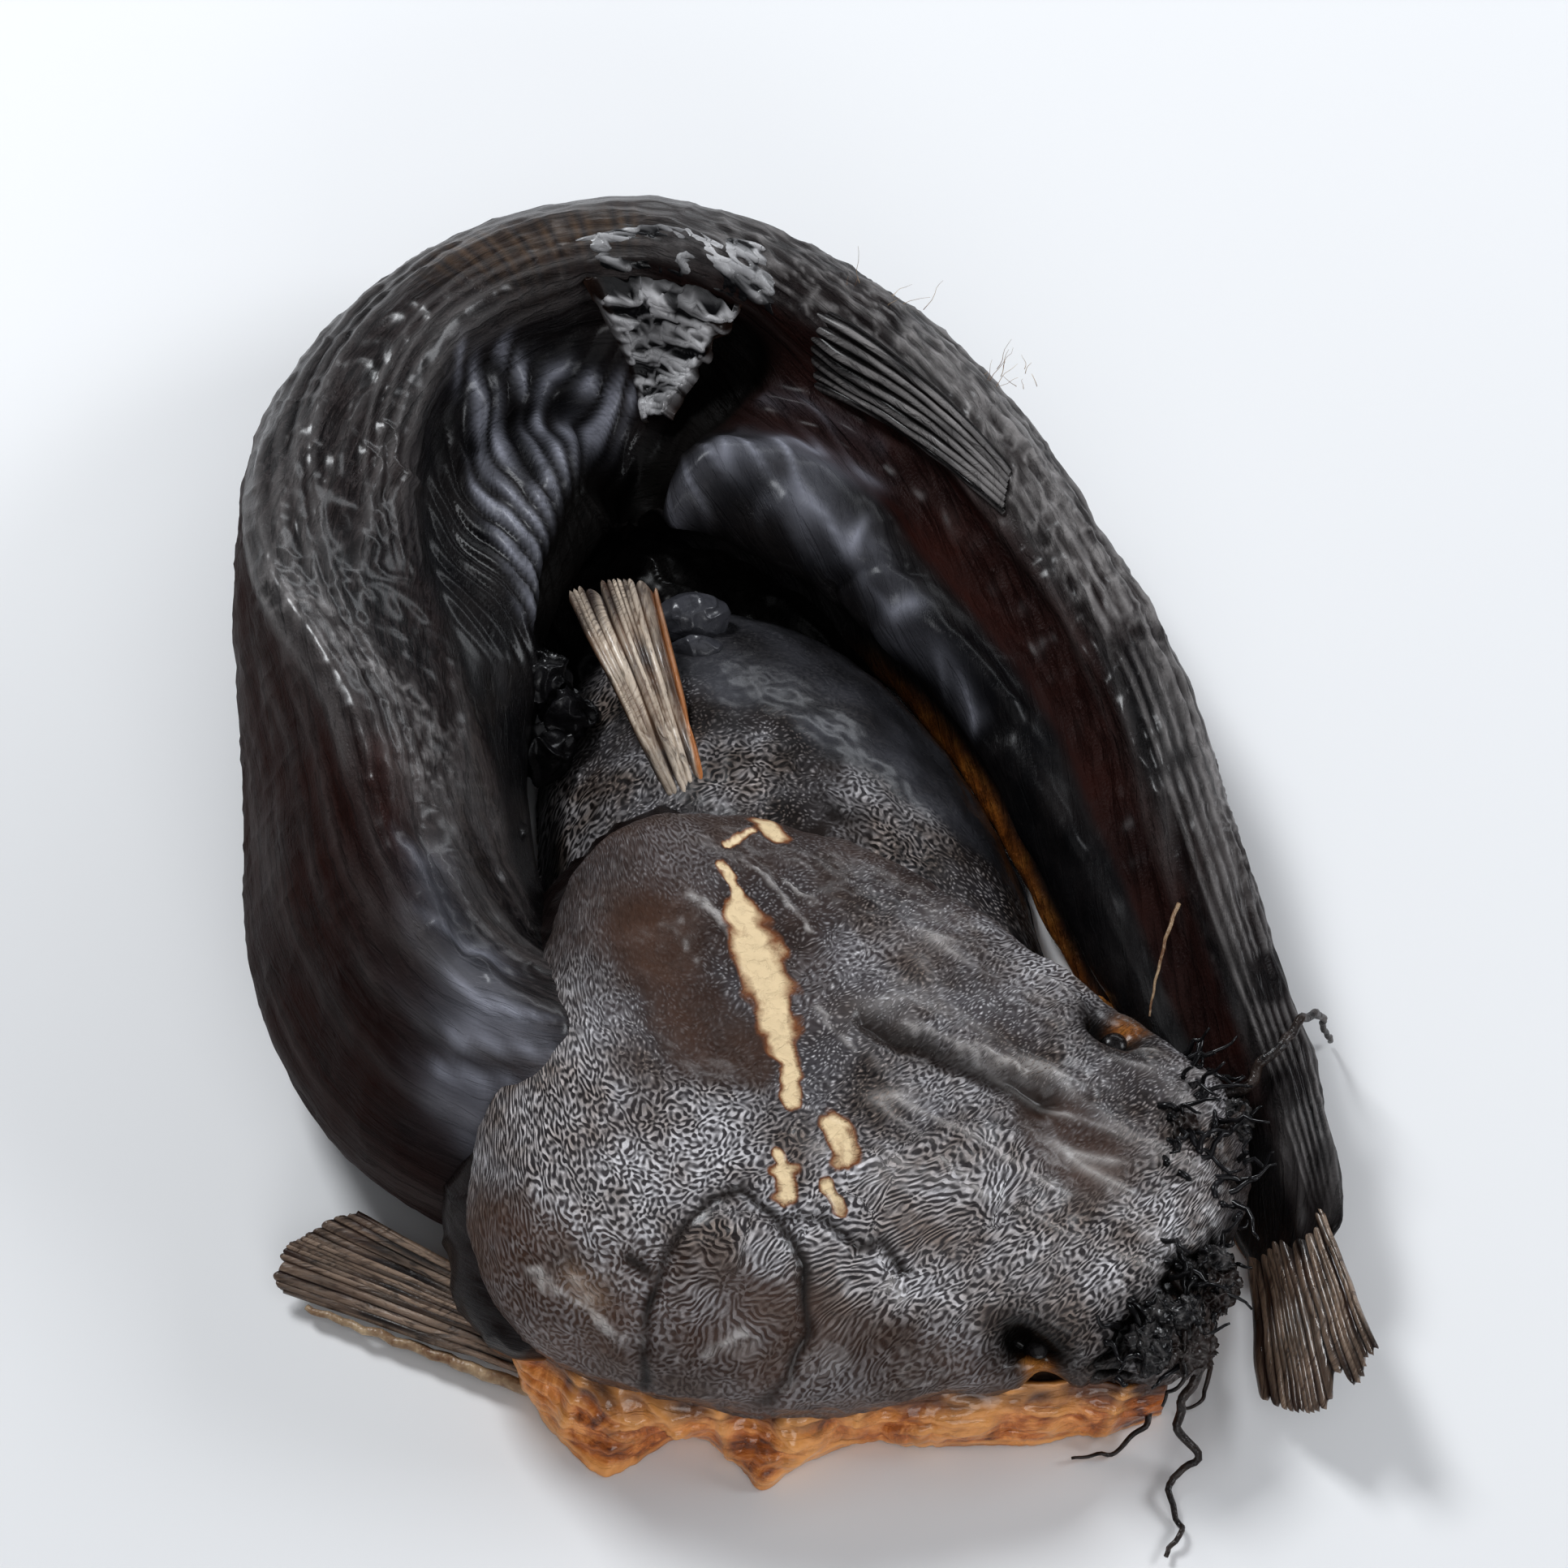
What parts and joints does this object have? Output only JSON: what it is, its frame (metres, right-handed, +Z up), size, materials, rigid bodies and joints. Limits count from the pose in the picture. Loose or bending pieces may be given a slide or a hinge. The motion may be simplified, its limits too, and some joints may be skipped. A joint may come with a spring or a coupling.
{
  "type": "smoked catfish",
  "caption": "Whole smoked catfish curled into a ring with its tail beside its snout, with a broad flat head, barbels, spread gill cover and dried fins.",
  "frame": {"origin": "middle of the lowest plane of the bounding box, on the surface the fish lies on", "axes": "+X is the way the snout points, +Y runs from the head across the ring to its far arch, +Z is up, with the crown of the head and the left flank facing up"},
  "size_m": [0.172, 0.2282, 0.0521],
  "materials": {
    "smoked_skin": "dark brown-black smoked skin, satin, wrinkled and granular"
  },
  "bodies": {
    "root": {"smoked_fish": "smoked_skin"}
  },
  "joints": []
}
